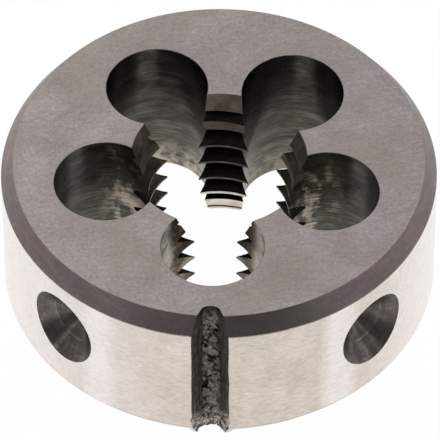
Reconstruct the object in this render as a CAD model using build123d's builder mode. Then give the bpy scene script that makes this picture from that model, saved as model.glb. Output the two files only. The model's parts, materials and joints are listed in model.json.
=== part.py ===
"""Round threading die: a hardened disc that cuts an outside thread on a rod.

The disc is one piece of tool steel. Clearance holes break into the threaded bore and leave
lands of cutting teeth between them. A lead-in cone at each face cuts the first teeth back,
so that the die starts on a rod from either side. The rim carries a vee groove for the centre
screw of a die stock, and conical seats for its clamping screws.

Frame: millimetres, origin at the centre of the lower face, +Z along the bore, and the rim
groove faces -Y.
"""

from build123d import *
import os
from math import acos, ceil, cos, degrees, floor, radians, sin, tan

# ------------------------------------------------------------------ driving dimensions

# Blank: the standard 45 x 18 size.
body_diameter = 45.0
body_thickness = 18.0
rim_chamfer_width = 1.26      # radial, at both faces
rim_chamfer_height = 1.9      # along the axis, at both faces

# Thread that the die cuts: 18 mm metric coarse, right-handed.
thread_diameter = 18.0
thread_pitch = 2.5
thread_angle = 60.0           # included angle of the vee
thread_phase = 0.0            # direction in which a tooth space crosses the lower face

# Lead-in cone at each face.
lead_mouth_clearance = 0.15   # radial, outside the thread
lead_in_pitches = 2.0         # length of the cone, in pitches

# Clearance holes.
hole_count = 5
hole_diameter = 10.62
hole_break_in = 0.61          # how far each hole reaches inside the tooth tips
hole_lag_angle = 1.3          # the first hole stands this far behind the rim groove

# Rim groove for the centre screw.
groove_direction = -90.0
groove_width = 3.9            # across the mouth, at the rim
groove_depth = 2.46           # below the rim
groove_angle = 50.0           # included angle of the flanks

# Conical seats for the clamping screws.
seat_diameter = 8.88          # at the rim
seat_angle = 90.0             # included angle
seat_drop = 8.31              # centre below the upper face
seat_spread_angle = 45.26     # front seats, each side of the seats' own centre line
seat_lead_angle = 1.7         # that centre line leads the rim groove by this much

# How far each cutting tool runs out past the stock, and past the edge of a land.
tool_overrun = 1.0
land_overrun_angle = 6.0

# ------------------------------------------------------------------ worked-out sizes

body_radius = body_diameter / 2
face_radius = body_radius - rim_chamfer_width
hole_radius = hole_diameter / 2

# Teeth: the sharp vee is cut off by 1/8 of its height outside and 1/10 at the tooth tips.
flank_slope = tan(radians(thread_angle / 2))
vee_height = thread_pitch / 2 / flank_slope
thread_outer_radius = thread_diameter / 2
tooth_tip_radius = thread_outer_radius - (1 - 1 / 8 - 1 / 10) * vee_height
space_root_width = thread_pitch / 8
lead_mouth_radius = thread_outer_radius + lead_mouth_clearance
lead_length = lead_in_pitches * thread_pitch

# Holes and the lands between them.
hole_circle_radius = tooth_tip_radius + hole_radius - hole_break_in
hole_pitch_angle = 360 / hole_count
first_hole_angle = groove_direction - hole_lag_angle
hole_half_angle = degrees(
    acos(
        (tooth_tip_radius**2 + hole_circle_radius**2 - hole_radius**2)
        / (2 * tooth_tip_radius * hole_circle_radius)
    )
)
land_angle = hole_pitch_angle - 2 * hole_half_angle

# Groove: the nose is the round that touches both flanks and the groove's bottom.
groove_half_angle = radians(groove_angle / 2)
groove_nose_radius = (
    groove_width / 2 * cos(groove_half_angle) - groove_depth * sin(groove_half_angle)
) / (1 - sin(groove_half_angle))
groove_bottom_radius = body_radius - groove_depth
groove_tangent_radius = groove_bottom_radius + groove_nose_radius * (1 - sin(groove_half_angle))
groove_tangent_half_width = groove_nose_radius * cos(groove_half_angle)
groove_tool_radius = body_radius + tool_overrun
groove_tool_half_width = groove_tangent_half_width + (
    groove_tool_radius - groove_tangent_radius
) * tan(groove_half_angle)

# Seats.
seat_slope = tan(radians(seat_angle / 2))
seat_tip_radius = body_radius - seat_diameter / 2 / seat_slope
seat_tool_length = body_radius - seat_tip_radius + tool_overrun
seat_centre_line = groove_direction + seat_lead_angle
seat_directions = [
    seat_centre_line + side * spread
    for spread in (seat_spread_angle, 180 - seat_spread_angle)
    for side in (-1, 1)
]

# ------------------------------------------------------------------ one tooth space

# The vee between two teeth, swept along the thread's helix for a little more than one land.
space_sweep_angle = land_angle + 2 * land_overrun_angle
space_tool_radius = tooth_tip_radius - tool_overrun / 2
space_tool_half_width = space_root_width / 2 + (thread_outer_radius - space_tool_radius) * flank_slope

with BuildPart() as tooth_space:
    with BuildLine() as space_path:
        Helix(
            pitch=thread_pitch,
            height=thread_pitch * space_sweep_angle / 360,
            radius=thread_outer_radius,
        )
    with BuildSketch(Plane.XZ) as space_profile:
        with BuildLine():
            Polyline(
                (space_tool_radius, -space_tool_half_width),
                (thread_outer_radius, -space_root_width / 2),
                (thread_outer_radius, space_root_width / 2),
                (space_tool_radius, space_tool_half_width),
                close=True,
            )
        make_face()
    sweep(path=space_path.line, is_frenet=True)


def spaces_on_land(land_number):
    """Places of every tooth space on one land, from below the lower face to above the upper."""
    land_centre = first_hole_angle + (land_number + 0.5) * hole_pitch_angle
    start_angle = land_centre - space_sweep_angle / 2
    start_height = thread_pitch * (start_angle - thread_phase) / 360
    first_turn = floor((-thread_pitch - start_height) / thread_pitch)
    last_turn = ceil((body_thickness + thread_pitch - start_height) / thread_pitch)
    return [
        Location((0, 0, start_height + turn * thread_pitch), (0, 0, start_angle))
        for turn in range(first_turn, last_turn)
    ]


# ------------------------------------------------------------------ the die

with BuildPart() as die_body:
    # Turned blank: chamfered rim, bore at the tooth tips, lead-in cone at each face.
    with BuildSketch(Plane.XZ) as blank_profile:
        with BuildLine():
            Polyline(
                (tooth_tip_radius, lead_length),
                (lead_mouth_radius, 0),
                (face_radius, 0),
                (body_radius, rim_chamfer_height),
                (body_radius, body_thickness - rim_chamfer_height),
                (face_radius, body_thickness),
                (lead_mouth_radius, body_thickness),
                (tooth_tip_radius, body_thickness - lead_length),
                close=True,
            )
        make_face()
    revolve(axis=Axis.Z)

    # Clearance holes, drilled right through from the upper face.
    with Locations((0, 0, body_thickness)):
        with PolarLocations(hole_circle_radius, hole_count, start_angle=first_hole_angle):
            Hole(hole_radius)

    # Teeth: the spaces are cut land by land, all on one helix.
    with Locations(*[place for land in range(hole_count) for place in spaces_on_land(land)]):
        add(tooth_space.part, mode=Mode.SUBTRACT)

    # Rim groove: straight flanks on a round nose, the full height of the rim.
    with BuildSketch(Plane.XY.rotated((0, 0, groove_direction))) as groove_profile:
        with BuildLine():
            nose = ThreePointArc(
                (groove_tangent_radius, -groove_tangent_half_width),
                (groove_bottom_radius, 0),
                (groove_tangent_radius, groove_tangent_half_width),
            )
            Polyline(
                nose @ 1,
                (groove_tool_radius, groove_tool_half_width),
                (groove_tool_radius, -groove_tool_half_width),
                nose @ 0,
            )
        make_face()
    extrude(amount=body_thickness, mode=Mode.SUBTRACT)

    # Conical seats, pointed at the axis.
    for direction in seat_directions:
        outward = Vector(1, 0, 0).rotate(Axis.Z, direction)
        seat_tip = outward * seat_tip_radius + Vector(0, 0, body_thickness - seat_drop)
        with Locations(Plane(origin=seat_tip, z_dir=outward)):
            Cone(
                bottom_radius=0,
                top_radius=seat_tool_length * seat_slope,
                height=seat_tool_length,
                align=(Align.CENTER, Align.CENTER, Align.MIN),
                mode=Mode.SUBTRACT,
            )

die_body.part.label = "die_body"

os.makedirs("parts", exist_ok=True)
export_step(die_body.part, "parts/die_body.step")
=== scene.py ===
"""Looks for a round threading die in hardened tool steel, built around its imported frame.

The die is one disc: a turned blank, five clearance holes, the spaces between its cutting
teeth, a rough groove for the centre screw of a die stock, and four conical seats for the
clamping screws. Every kind of surface keeps the marks of the tool that made it, so each one
has a finish of its own. Sizes are millimetres, as on a drawing, and meshes are in metres.
"""

import json
import logging
import math
from collections.abc import Callable, Mapping, Sequence
from dataclasses import dataclass, field
from enum import Enum

import bmesh
import bpy
from mathutils import Matrix, Vector, noise

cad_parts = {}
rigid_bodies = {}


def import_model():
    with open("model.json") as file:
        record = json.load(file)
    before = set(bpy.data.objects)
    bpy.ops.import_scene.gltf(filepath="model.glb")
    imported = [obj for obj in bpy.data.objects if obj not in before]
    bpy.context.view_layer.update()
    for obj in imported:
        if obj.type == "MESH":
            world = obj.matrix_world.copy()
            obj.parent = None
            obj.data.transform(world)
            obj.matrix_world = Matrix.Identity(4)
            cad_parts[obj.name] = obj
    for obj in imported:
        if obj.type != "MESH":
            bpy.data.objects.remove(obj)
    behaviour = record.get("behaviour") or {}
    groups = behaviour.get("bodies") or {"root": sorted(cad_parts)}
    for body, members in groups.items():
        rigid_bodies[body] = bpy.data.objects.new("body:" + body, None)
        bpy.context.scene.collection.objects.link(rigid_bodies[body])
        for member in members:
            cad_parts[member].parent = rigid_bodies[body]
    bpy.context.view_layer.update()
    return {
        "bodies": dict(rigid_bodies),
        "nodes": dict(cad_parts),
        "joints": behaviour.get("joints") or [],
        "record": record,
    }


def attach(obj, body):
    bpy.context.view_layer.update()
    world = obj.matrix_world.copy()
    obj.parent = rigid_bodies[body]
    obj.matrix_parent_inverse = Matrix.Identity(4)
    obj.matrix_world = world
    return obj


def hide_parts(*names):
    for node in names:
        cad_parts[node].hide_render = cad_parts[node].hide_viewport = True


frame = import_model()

LOG = logging.getLogger("threading_die")
MM = 0.001  # metres in one millimetre
NOISE_SEED = 4  # without a seed, noise vectors take their offsets from the clock
TOOL_PLACE = "tool_mm"  # a corner's place in the frame of the tool that cut it, millimetres
TOOL_AXIS = "tool_axis"  # that tool's axis: its marks run round it, and spread light along it


class Surface(Enum):
    """The kinds of surface on the die, by the tool that left them."""

    FACE = "lapped_face"
    RIM = "ground_rim"
    CHAMFER = "hardened_chamfer"
    EDGE = "broken_edge"
    CONE = "lead_cone"
    CREST = "tooth_crest"
    FLANK = "tooth_flank"
    HOLE = "drilled_hole"
    GROOVE = "scaled_groove"
    SEAT = "turned_seat"


# ------------------------------------------------------------------ node helpers

Tree = bpy.types.NodeTree
Node = bpy.types.Node
Source = bpy.types.Node | bpy.types.NodeSocket  # a node stands for its first output in use
Film = tuple[Source, str]  # how much of a film shows, and its colour, as sRGB


SRGB_KNEE, SRGB_SLOPE, SRGB_OFFSET, SRGB_POWER = 0.04045, 12.92, 0.055, 2.4  # of the sRGB curve


def linear(hex_colour: str) -> tuple[float, float, float, float]:
    """Turns an sRGB hex colour into the linear colour that a shader socket takes.

    Args:
        hex_colour: Six hex digits after a hash sign.

    Returns:
        Linear red, green, blue and an alpha of 1.
    """
    channels = (value / 255 for value in bytes.fromhex(hex_colour[1:]))
    red, green, blue = (
        channel / SRGB_SLOPE
        if channel <= SRGB_KNEE
        else ((channel + SRGB_OFFSET) / (1 + SRGB_OFFSET)) ** SRGB_POWER
        for channel in channels
    )
    return red, green, blue, 1.0


def add_node(
    tree: Tree, kind: str, inputs: Mapping[str | int, object] | None = None, **settings: object
) -> Node:
    """Adds a node with its settings, and sets or links its inputs.

    Args:
        tree: The tree that gets the node.
        kind: Blender's name for the node's type, after "ShaderNode".
        inputs: For each input, the node or socket that feeds it, or the value that it holds.
        **settings: Properties of the node itself.

    Returns:
        The new node.
    """
    node = tree.nodes.new("ShaderNode" + kind)
    for name, value in settings.items():
        setattr(node, name, value)
    for name, source in (inputs or {}).items():
        if isinstance(source, Node):
            source = next(output for output in source.outputs if output.enabled)
        if isinstance(source, bpy.types.NodeSocket):
            tree.links.new(source, node.inputs[name])
        else:
            node.inputs[name].default_value = source
    return node


# ------------------------------------------------------------------ finishes

WHITE = (1.0, 1.0, 1.0, 1.0)
NOISE_ROUGHNESS = 0.6  # how strongly each finer octave of a pattern shows
TONE_SWING = 0.22  # how far a finish's layers stray from their middle, before its contrast
FILM_NOISE = (0.42, 0.62)  # noise between which a film comes in


@dataclass(frozen=True)
class Fade:
    """How a worth changes while a measure goes from one end to the other, and is level beyond.

    Attributes:
        begin: The measure at one end.
        end: The measure at the other.
        first: The worth at the beginning.
        last: The worth at the end.
    """

    begin: float
    end: float
    first: float = 0.0
    last: float = 1.0

    def of(self, measure: Source) -> dict[str, object]:
        """The inputs of a range node that follows a measure."""
        ends = {"From Min": self.begin, "From Max": self.end, "To Min": self.first, "To Max": self.last}
        return {"Value": measure, **ends}


@dataclass(frozen=True)
class Layer:
    """One pattern in a finish: noise, stretched to the size of one mark.

    Attributes:
        size: Size of one mark along each axis of the tool's frame, in millimetres.
        share: How much of the tone it makes, beside the other layers.
        depth: How deep it cuts, in millimetres.
        turn: How far the marks are turned about the tool's axis, in degrees.
        detail: Octaves of finer marks inside each one.
    """

    size: tuple[float, float, float]
    share: float = 1.0
    depth: float = 0.0
    turn: float = 0.0
    detail: float = 2.0

    def draw(self, tree: Tree, place: Source) -> Node:
        """Draws the pattern.

        Args:
            tree: The material's tree.
            place: The place in the tool's frame, in millimetres.

        Returns:
            The pattern, from 0 to 1 about a half.
        """
        turned = add_node(tree, "Mapping", {"Vector": place, "Rotation": (0.0, 0.0, math.radians(self.turn))})
        scale = tuple(1 / side for side in self.size)
        marks = {"Vector": add_node(tree, "Mapping", {"Vector": turned, "Scale": scale}), "Scale": 1.0}
        return add_node(tree, "TexNoise", {**marks, "Detail": self.detail, "Roughness": NOISE_ROUGHNESS})


@dataclass(frozen=True)
class Patch:
    """Soft patches in a finish.

    Attributes:
        size: Width of one patch, in millimetres.
        fade: From the noise where a patch begins to that where it is full, and its worth there.
    """

    size: float
    fade: Fade

    def draw(self, tree: Tree, place: Source) -> Node:
        """Draws the patches.

        Args:
            tree: The material's tree.
            place: The place in the tool's frame, in millimetres.

        Returns:
            The patches, from 0 to their worth.
        """
        blots = {"Vector": place, "Scale": 1 / self.size, "Detail": 3.0, "Roughness": NOISE_ROUGHNESS}
        pattern = add_node(tree, "TexNoise", blots)
        return add_node(tree, "MapRange", self.fade.of(pattern), interpolation_type="SMOOTHSTEP")


@dataclass(frozen=True)
class ToolSteel:
    """Hardened tool steel, bare of any coating, as one tool left it.

    The metal is grey with a warm cast from a film of oil and thin oxide, which gathers in soft
    clouds. Over the clouds lie the tool's marks and a fine grain, and here and there a dark pit.

    Attributes:
        name: The material's name.
        tones: Dark, middle and light colour, as sRGB.
        layers: The patterns that make the tone and the relief.
        roughness: Of the light tone and of the dark one.
        contrast: How far the tone swings either side of the middle.
        film: Colour of the oil or oxide film where it is thickest.
        film_size: Width of one patch of the film.
        film_share: How much of the colour the film takes there.
        pit: Colour of a pit.
        pit_spacing: Distance between dark pits, or 0 for none.
        pit_size: Width of the widest pit.
        pit_edge: How a pit fades across its edge, in parts of its radius.
        anisotropy: How far the marks spread a reflection across themselves.
        metallic: 1 for bare metal, less for scale.
    """

    name: str
    tones: tuple[str, str, str]
    layers: tuple[Layer, ...]
    roughness: tuple[float, float] = (0.34, 0.46)
    contrast: float = 1.0
    film: str = "#8A8078"
    film_size: float = 5.0
    film_share: float = 0.0
    pit: str = "#3A3430"
    pit_spacing: float = 0.0
    pit_size: float = 0.22
    pit_edge: Fade = Fade(0.6, 1.2, 0.6, 0.0)
    anisotropy: float = 0.0
    metallic: float = 1.0

    def place(self, tree: Tree) -> Source:
        """The place in the tool's frame, in millimetres, as the layers take it."""
        return add_node(tree, "Attribute", attribute_name=TOOL_PLACE).outputs["Vector"]

    def total(self, tree: Tree, patterns: Sequence[Source], weights: Sequence[float]) -> Source | float:
        """Adds up patterns.

        Args:
            tree: The material's tree.
            patterns: The patterns.
            weights: The weight of each.

        Returns:
            The weighted sum.
        """
        total: Source | float = 0.0
        for pattern, weight in zip(patterns, weights):
            if weight:
                total = add_node(tree, "Math", {0: pattern, 1: weight, 2: total}, operation="MULTIPLY_ADD")
        return total

    def product(self, tree: Tree, mask: Source, *others: Source | float) -> Source:
        """Multiplies a mask by others, or by shares of it, one after another."""
        for other in others:
            mask = add_node(tree, "Math", {0: mask, 1: other}, operation="MULTIPLY")
        return mask

    def distance(self, tree: Tree, measure: Source, middle: Source | float) -> Source:
        """How far a measure is from a middle, either way."""
        off = add_node(tree, "Math", {0: measure, 1: middle}, operation="SUBTRACT")
        return add_node(tree, "Math", {0: off}, operation="ABSOLUTE")

    def films(self, tree: Tree, place: Source) -> list[Film]:
        """What has gathered on the tones: here the oil or oxide, and the pits.

        Args:
            tree: The material's tree.
            place: The place in the tool's frame, in millimetres.

        Returns:
            The films, from the lowest to the one that lies over all others.
        """
        films: list[Film] = []
        if self.film_share:
            clouds = Patch(self.film_size, Fade(*FILM_NOISE, last=self.film_share))
            films.append((clouds.draw(tree, place), self.film))
        if self.pit_spacing:
            cells = add_node(tree, "TexVoronoi", {"Vector": place, "Scale": 1 / self.pit_spacing})
            radius = self.product(tree, cells.outputs["Color"], self.pit_size / 2 / self.pit_spacing)
            inside = add_node(tree, "Math", {0: cells.outputs["Distance"], 1: radius}, operation="DIVIDE")
            films.append((add_node(tree, "MapRange", self.pit_edge.of(inside)), self.pit))
        return films

    def material(self) -> bpy.types.Material:
        """Builds the material.

        Returns:
            The material, with its whole node tree.
        """
        material = bpy.data.materials.new(self.name)
        material.use_nodes = True
        tree = material.node_tree
        tree.nodes.clear()
        place = self.place(tree)
        patterns = [layer.draw(tree, place) for layer in self.layers]
        shares = [layer.share for layer in self.layers]
        middle, swing = sum(shares) / 2, TONE_SWING / self.contrast * sum(shares)
        around = Fade(middle - swing, middle + swing)
        tone = add_node(tree, "MapRange", around.of(self.total(tree, patterns, shares)))
        colours = add_node(tree, "ValToRGB", {"Fac": tone})
        stops = colours.color_ramp.elements
        stops.new(0.5)
        for stop, tone_colour in zip(stops, self.tones):
            stop.color = linear(tone_colour)
        colour: Source = colours
        for amount, film in self.films(tree, place):
            over = {"Factor": amount, "A": colour, "B": linear(film)}
            colour = add_node(tree, "Mix", over, data_type="RGBA")
        light, dark = self.roughness
        depth = self.total(tree, patterns, [layer.depth for layer in self.layers])
        inputs = {
            "Base Color": colour,
            "Roughness": add_node(tree, "MapRange", Fade(0.0, 1.0, dark, light).of(tone)),
            "Normal": add_node(tree, "Bump", {"Height": depth, "Distance": MM, "Strength": 1.0}),
            "Metallic": self.metallic,
            "Anisotropic": self.anisotropy,
        }
        if self.anisotropy:
            inputs["Tangent"] = add_node(tree, "Attribute", attribute_name=TOOL_AXIS).outputs["Vector"]
        add_node(tree, "OutputMaterial", {"Surface": add_node(tree, "BsdfPrincipled", inputs)})
        return material


@dataclass(frozen=True)
class StainAndReflectionRim(ToolSteel):
    """Cylindrically ground tool steel: bright, with a brown film that is partly a stain from fingers and oil
    and partly painted reflection, darkest in front where the rim mirrors the dark side of the room.

    Attributes:
        stain_and_reflection: Colour of the film: a stain, and painted reflection.
        stain_and_reflection_profile: Pairs of a distance to the side of the groove and how thick the film is
            there: thick in front as painted shade, where the rim mirrors the dark side of the room,
            thin in a painted highlight band from 11.6 to 13 mm, and gone at the ends.
        stain_and_reflection_centre: How far the middle of that profile lies to the side of the groove.
        stain_and_reflection_lean: How its thickness changes from one side of the groove to the other.
        stain_and_reflection_least: How thick it is between its speckles.
        speckle: The speckles that it dried in.
        blot: The blots that the speckles thicken in.
        blot_share: How much those add.
        half_width: Half the die's width.
    """

    # Stain and painted reflection: the profile darkens the rim in front as painted shade and leaves a lighter
    # painted highlight band each side.
    stain_and_reflection: str = "#BDAE9B"
    stain_and_reflection_profile: tuple[tuple[float, float], ...] = (
        (1.0, 1.0),
        (10.2, 0.75),
        (11.6, 0.12),
        (13.0, 0.12),
        (14.4, 0.62),
        (17.5, 0.35),
        (21.5, 0.0),
    )
    stain_and_reflection_centre: float = 0.75
    stain_and_reflection_lean: Fade = Fade(-11.25, 11.25, 0.65)
    stain_and_reflection_least: float = 0.05
    speckle: Layer = Layer((0.7, 0.7, 0.28))
    blot: Patch = Patch(5.0, Fade(0.25, 0.75))
    blot_share: float = 0.35
    half_width: float = 22.5

    def films(self, tree: Tree, place: Source) -> list[Film]:
        """The brown film each side of the groove, in speckles and soft blots: a stain, and painted
        reflection.

        Args:
            tree: The material's tree.
            place: The place on the die, in millimetres.

        Returns:
            The films, from the lowest up.
        """
        axes = add_node(tree, "SeparateXYZ", {"Vector": place})
        away = self.distance(tree, axes.outputs["X"], self.stain_and_reflection_centre)
        part = add_node(tree, "Math", {0: away, 1: self.half_width}, operation="DIVIDE")
        profile = add_node(tree, "ValToRGB", {"Fac": part})
        stops = profile.color_ramp.elements
        for _ in self.stain_and_reflection_profile[2:]:
            stops.new(0.5)
        for stop, (distance, thickness) in zip(stops, self.stain_and_reflection_profile):
            stop.position = distance / self.half_width
            stop.color = (thickness, thickness, thickness, 1.0)
        lean = add_node(tree, "MapRange", self.stain_and_reflection_lean.of(axes.outputs["X"]))
        # Painted reflection, on the front only.
        front = add_node(tree, "Math", {0: axes.outputs["Y"], 1: 0.0}, operation="LESS_THAN")
        marks = [self.speckle.draw(tree, place), self.blot.draw(tree, place)]
        dried = self.total(tree, marks, [self.speckle.share, self.blot_share])
        film = add_node(tree, "Math", {0: dried, 1: self.stain_and_reflection_least}, operation="ADD")
        thick = self.product(tree, profile, lean, front, film)
        return [(thick, self.stain_and_reflection), *super().films(tree, place)]


@dataclass(frozen=True)
class PaintedShadeChamfer(ToolSteel):
    """An unground chamfer, darkened by painted shade, and darker still for a way to one side of the groove.

    Attributes:
        oil: Colour of that painted shade.
        painted_shade_centre: How far to the side of the groove it is darkest.
        painted_shade_spread: How it fades out each way from there.
    """

    # Painted shade: darker over the front of the chamfer, just to the right of the groove.
    oil: str = "#4E4F45"
    painted_shade_centre: float = 4.8
    painted_shade_spread: Fade = Fade(3.7, 7.4, 0.47, 0.0)

    def films(self, tree: Tree, place: Source) -> list[Film]:
        """The painted shade over the front of the chamfer.

        Args:
            tree: The material's tree.
            place: The place on the die, in millimetres.

        Returns:
            The films, from the lowest up.
        """
        axes = add_node(tree, "SeparateXYZ", {"Vector": place})
        away = self.distance(tree, axes.outputs["X"], self.painted_shade_centre)
        near = add_node(tree, "MapRange", self.painted_shade_spread.of(away), interpolation_type="SMOOTHSTEP")
        front = add_node(tree, "Math", {0: axes.outputs["Y"], 1: 0.0}, operation="LESS_THAN")
        # Painted shade, on the front only.
        return [(self.product(tree, near, front), self.oil), *super().films(tree, place)]


@dataclass(frozen=True)
class ForgedScale(ToolSteel):
    """Black forging scale on a broken, unmachined bottom: dull, with painted shade that makes it darkest in
    its cracks.

    Its place is across the groove, how far the surface stands out, and up, so that the cracks
    and the flanks can be told from the lumps between them.

    Attributes:
        flank: Colour of the oily flanks, each side of the lumps.
        flank_from: How it comes in across the groove.
        streak: Colour of the streaks where the oil has dried.
        streak_marks: The streaks.
        streak_from: How it comes in over their noise.
        crack: Colour of the painted shade in the cracks, and of the pits in the bare steel.
        crack_depth: How it comes in with how far the surface stands out.
        bare: Colour where the scale has broken off near the lower face.
        bare_edge: How it gives way with height.
        bare_mouth: How much further up it reaches towards the groove's mouth.
        bare_rag: How ragged its edge is: marks in a millimetre, and how high they reach.
        bare_rag_grain: Octaves of finer marks in those, and how strongly each shows.
        bare_pit: The pits in it.
        sooty: Colour of the soot at the upper end.
        sooty_from: How it comes in with height.
    """

    flank: str = "#3D382F"
    flank_from: Fade = Fade(0.6, 1.0, 0.0, 0.65)
    streak: str = "#8F887C"
    streak_marks: Layer = Layer((0.3, 0.3, 0.9), detail=4.0)
    streak_from: Fade = Fade(0.48, 0.62, 0.0, 0.6)
    # Painted shade in the cracks; the bare steel's pits take it too.
    crack: str = "#0D0C0A"
    crack_depth: Fade = Fade(-0.14, -0.01, 1.0, 0.0)
    bare: str = "#DED4CC"
    bare_edge: Fade = Fade(2.5, 3.3, 0.85, 0.0)
    bare_mouth: Fade = Fade(0.85, 1.95, 0.0, -2.0)
    bare_rag: tuple[float, float] = (2.0, 2.4)
    bare_rag_grain: tuple[float, float] = (4.0, 0.7)
    bare_pit: Patch = Patch(0.5, Fade(0.46, 0.52, 0.0, 0.92))
    sooty: str = "#231C17"
    sooty_from: Fade = Fade(16.6, 18.0, 0.0, 0.75)

    def films(self, tree: Tree, place: Source) -> list[Film]:
        """Oil on the flanks, painted shade in the cracks, soot above, and bare steel at the lower end.

        Args:
            tree: The material's tree.
            place: The place in the groove, in millimetres.

        Returns:
            The films, from the lowest up.
        """
        axes = add_node(tree, "SeparateXYZ", {"Vector": place})
        across = add_node(tree, "Math", {0: axes.outputs["X"]}, operation="ABSOLUTE")
        streaks = self.streak_from.of(self.streak_marks.draw(tree, place))
        (marks, reach), (detail, roughness) = self.bare_rag, self.bare_rag_grain
        rag = {"Vector": place, "Scale": marks, "Detail": detail, "Roughness": roughness}
        ragged = add_node(tree, "TexNoise", rag)
        mouth = add_node(tree, "MapRange", self.bare_mouth.of(across))
        level = add_node(tree, "Math", {0: axes.outputs["Z"], 1: mouth}, operation="ADD")
        edge = add_node(tree, "Math", {0: ragged, 1: reach, 2: level}, operation="MULTIPLY_ADD")
        worn = add_node(tree, "MapRange", self.bare_edge.of(edge))
        return [
            (add_node(tree, "MapRange", self.flank_from.of(across)), self.flank),
            (add_node(tree, "MapRange", streaks, interpolation_type="SMOOTHSTEP"), self.streak),
            # Painted shade: black where the surface sinks into a crack.
            (add_node(tree, "MapRange", self.crack_depth.of(axes.outputs["Y"])), self.crack),
            (add_node(tree, "MapRange", self.sooty_from.of(axes.outputs["Z"])), self.sooty),
            (worn, self.bare),
            (self.product(tree, worn, self.bare_pit.draw(tree, place)), self.crack),
        ]


@dataclass(frozen=True)
class DrilledHole(ToolSteel):
    """A drilled and hardened wall: ringed by the drill, and darker towards the top.

    Attributes:
        oil: Colour of the darkest part, towards the top; the drips take it too.
        darkening_with_height: How much darker the wall gets with height.
        darkening_back: How much of that lasts further back: little in the front hole.
        darkening_marks: The runs that it lies in.
        darkening_uneven: How much it varies with them.
        oil_drips: The drips of it over the rust.
        dry_and_sheen: Colour of the patches where the oil has dried up, and of the painted reflection of the
            floor low in the holes.
        dry_share: How much of the colour they take.
        dry_radii: How they give way with distance from the bore.
        dry_reach: How they give way further back.
        floor_sheen_height: How the painted reflection of the floor in the drill's exits gives way with
            height.
        exit_sheen_patch: The patches that it lies in there.
        exit_and_drip_sides: How it and the drips over the rust thin out from left to right.
        dry_middle: Height round which they gather, on the axis.
        dry_lean: How much higher that is for each millimetre to the right.
        dry_fall: How fast they thin out above and below it.
        dry_marks: Smears and wisps that they are made of.
        dry_noise: Noise of those between which a patch comes in.
        rust: Colour of the thin rust in the front hole.
        rust_share: How much of the colour it takes.
        rust_dry_share: How much of it the dry patches reach.
        rust_reach: How it gives way further back.
    """

    # Darker towards the top, less so in the front hole.
    oil: str = "#25231E"
    darkening_with_height: Fade = Fade(1.0, 13.0, 0.0, 0.85)
    darkening_back: Fade = Fade(-8.5, -5.5, 0.1)
    darkening_marks: Layer = Layer((2.5, 2.5, 1.2), detail=4.0)
    darkening_uneven: Fade = Fade(0.35, 0.65, 0.65, 1.15)
    oil_drips: Patch = Patch(0.9, Fade(0.38, 0.56, 0.0, 0.9))
    # Dry patches, and the painted reflection of the floor low in the holes.
    dry_and_sheen: str = "#BFB3A1"
    dry_share: float = 0.7
    dry_radii: Fade = Fade(10.4, 13.0, 1.0, 0.0)
    dry_reach: Fade = Fade(1.5, 6.0, 1.0, 0.0)
    # Painted reflection of the floor: lighter patches low in the holes.
    floor_sheen_height: Fade = Fade(1.2, 4.4, 1.0, 0.0)
    exit_sheen_patch: Patch = Patch(1.1, Fade(0.34, 0.6, 0.0, 0.75))
    exit_and_drip_sides: Fade = Fade(-4.0, 4.0, 1.0, 0.35)
    dry_middle: float = 11.5
    dry_lean: float = 0.18
    dry_fall: float = 0.016
    dry_marks: tuple[Layer, ...] = (
        Layer((2.0, 2.0, 3.2), 0.7, detail=4.0),
        Layer((3.0, 3.0, 0.2), 0.3, detail=3.0),
    )
    dry_noise: tuple[float, float] = (0.455, 0.545)
    rust: str = "#A08A76"
    rust_share: float = 0.55
    rust_dry_share: float = 0.45
    rust_reach: Fade = Fade(-8.5, -6.5, 1.0, 0.0)

    def films(self, tree: Tree, place: Source) -> list[Film]:
        """Darker towards the top, rust in the front hole, dry patches over both, and lighter patches low in
        the holes that paint the floor's reflection.

        Args:
            tree: The material's tree.
            place: The place on the die, in millimetres.

        Returns:
            The films, from the lowest up.
        """
        axes = add_node(tree, "SeparateXYZ", {"Vector": place})
        right, back, height = (axes.outputs[name] for name in "XYZ")
        flat = add_node(tree, "CombineXYZ", {"X": right, "Y": back})
        radius = add_node(tree, "VectorMath", {0: flat}, operation="LENGTH")
        upper_darkening, lasting, uneven, near_bore, forward, low_sheen, rusty, sided = (
            add_node(tree, "MapRange", fade.of(measure))
            for fade, measure in (
                (self.darkening_with_height, height),
                (self.darkening_back, back),
                (self.darkening_uneven, self.darkening_marks.draw(tree, place)),
                (self.dry_radii, radius),
                (self.dry_reach, back),
                (self.floor_sheen_height, height),
                (self.rust_reach, back),
                (self.exit_and_drip_sides, right),
            )
        )
        middle = add_node(
            tree, "Math", {0: right, 1: self.dry_lean, 2: self.dry_middle}, operation="MULTIPLY_ADD"
        )
        marks = [layer.draw(tree, place) for layer in self.dry_marks]
        drawn = self.total(tree, marks, [layer.share for layer in self.dry_marks])
        off = self.distance(tree, height, middle)
        kept = add_node(tree, "Math", {0: off, 1: -self.dry_fall, 2: drawn}, operation="MULTIPLY_ADD")
        patches = add_node(tree, "MapRange", Fade(*self.dry_noise, last=self.dry_share).of(kept))
        places = (self.product(tree, forward, near_bore), self.product(tree, rusty, self.rust_dry_share))
        where = add_node(tree, "Math", dict(enumerate(places)), operation="MAXIMUM")
        return [
            # Darker towards the top.
            (self.product(tree, lasting, uneven, upper_darkening), self.oil),
            (self.product(tree, rusty, self.rust_share), self.rust),
            # Painted reflection of the floor, low in the holes.
            (self.product(tree, low_sheen, self.exit_sheen_patch.draw(tree, place), sided), self.dry_and_sheen),
            (self.product(tree, sided, self.oil_drips.draw(tree, place), rusty), self.oil),
            (self.product(tree, where, patches), self.dry_and_sheen),
            *super().films(tree, place),
        ]


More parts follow.
